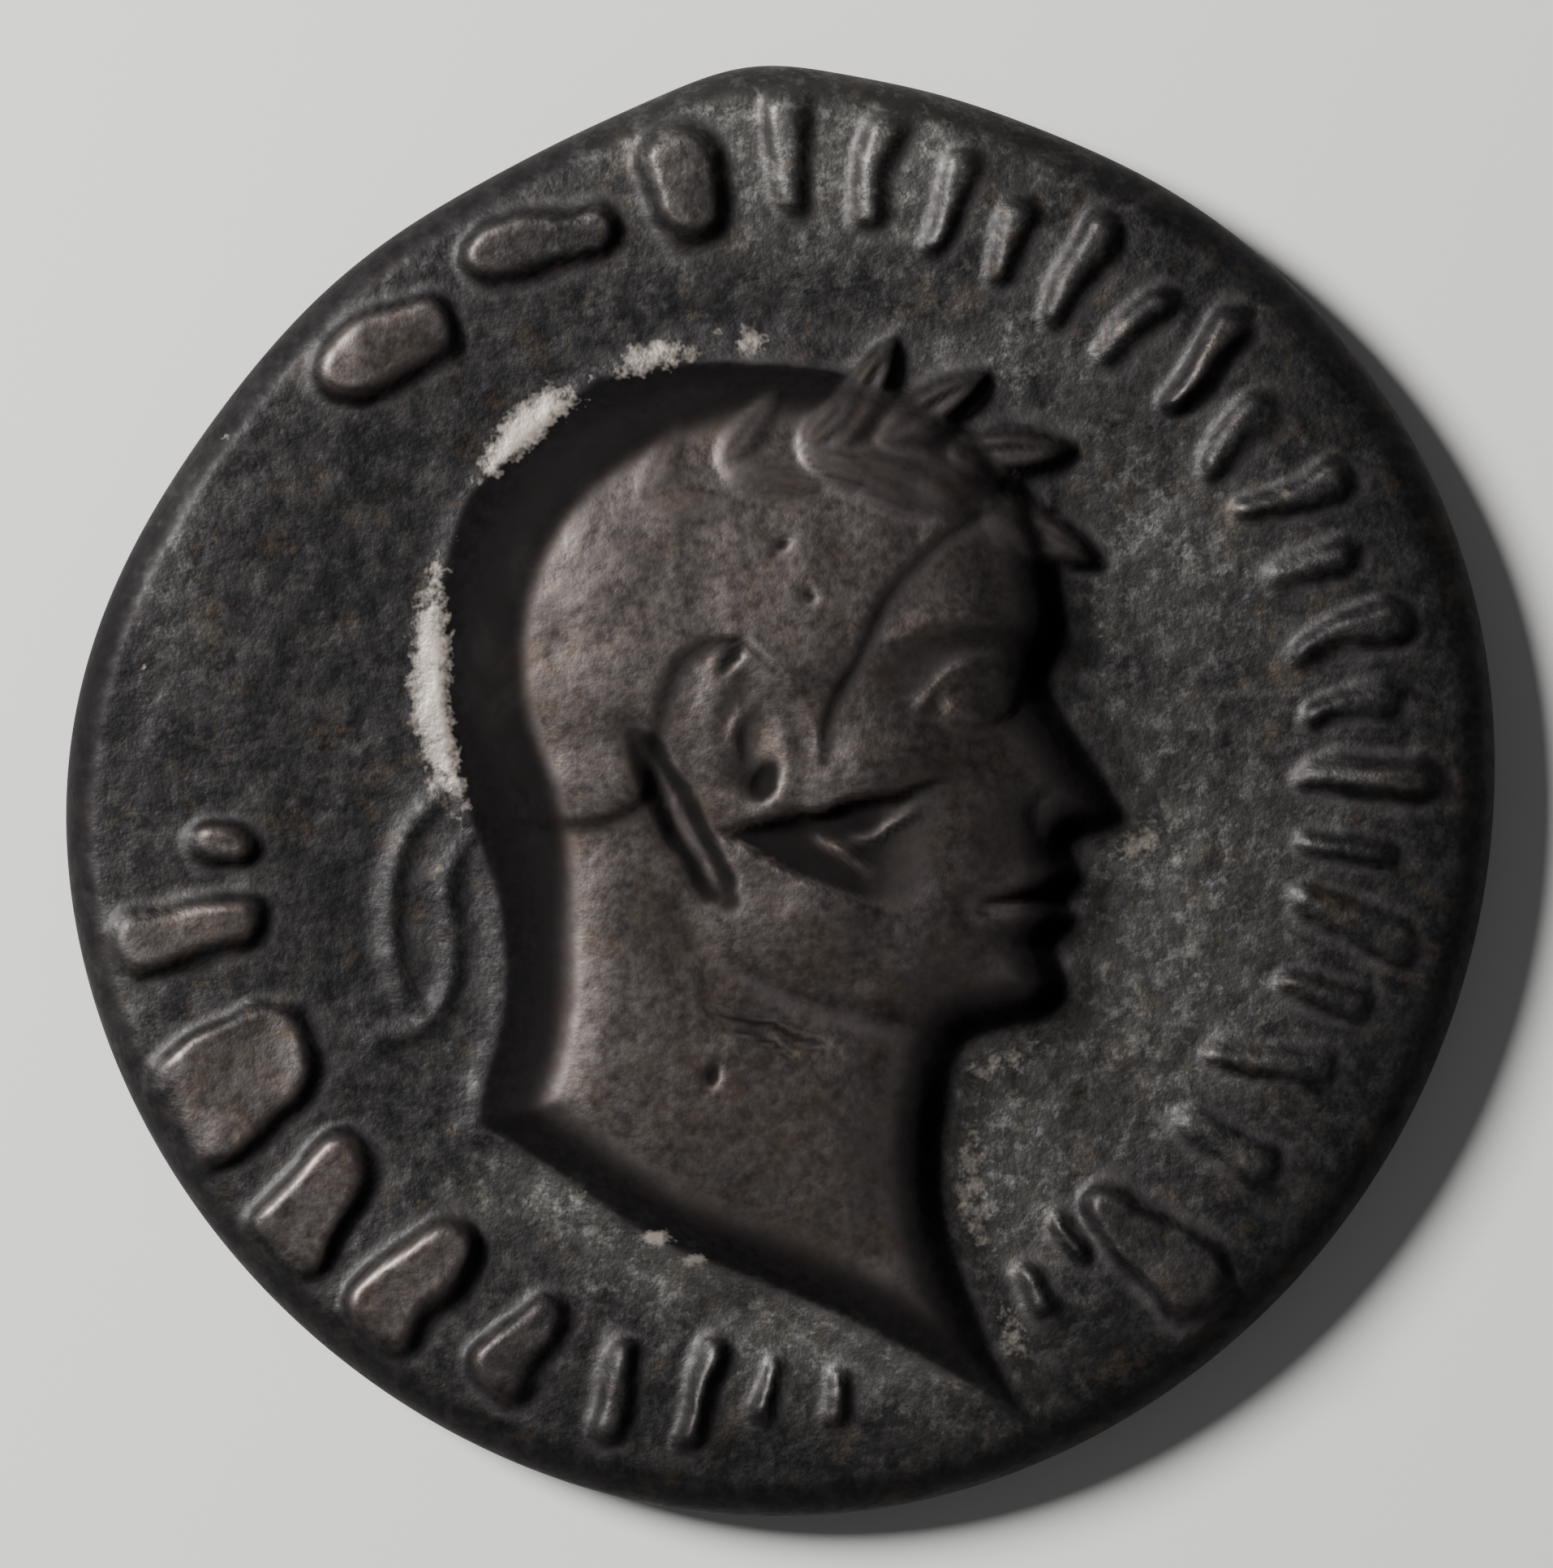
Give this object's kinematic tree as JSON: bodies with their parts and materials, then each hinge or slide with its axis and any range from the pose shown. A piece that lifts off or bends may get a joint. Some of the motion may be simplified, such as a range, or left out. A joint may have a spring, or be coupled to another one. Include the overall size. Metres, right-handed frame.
{
  "type": "struck silver coin",
  "caption": "Worn hand-struck silver coin, slightly out of round, with a laurelled head in profile on its face and a plain wreathed shield on its back.",
  "frame": {"origin": "middle of the coin's box in plan, at the level of the worn tops of its back, on which it lies", "axes": "+Z out of the face with the head, +Y up the head, +X the way the head looks"},
  "size_m": [0.0182, 0.0184, 0.0023],
  "materials": {
    "toned_silver": "dark toned silver, dull and rough in the field and smoother and warmer on the worn high places"
  },
  "bodies": {
    "root": {"coin": "toned_silver"}
  },
  "joints": []
}
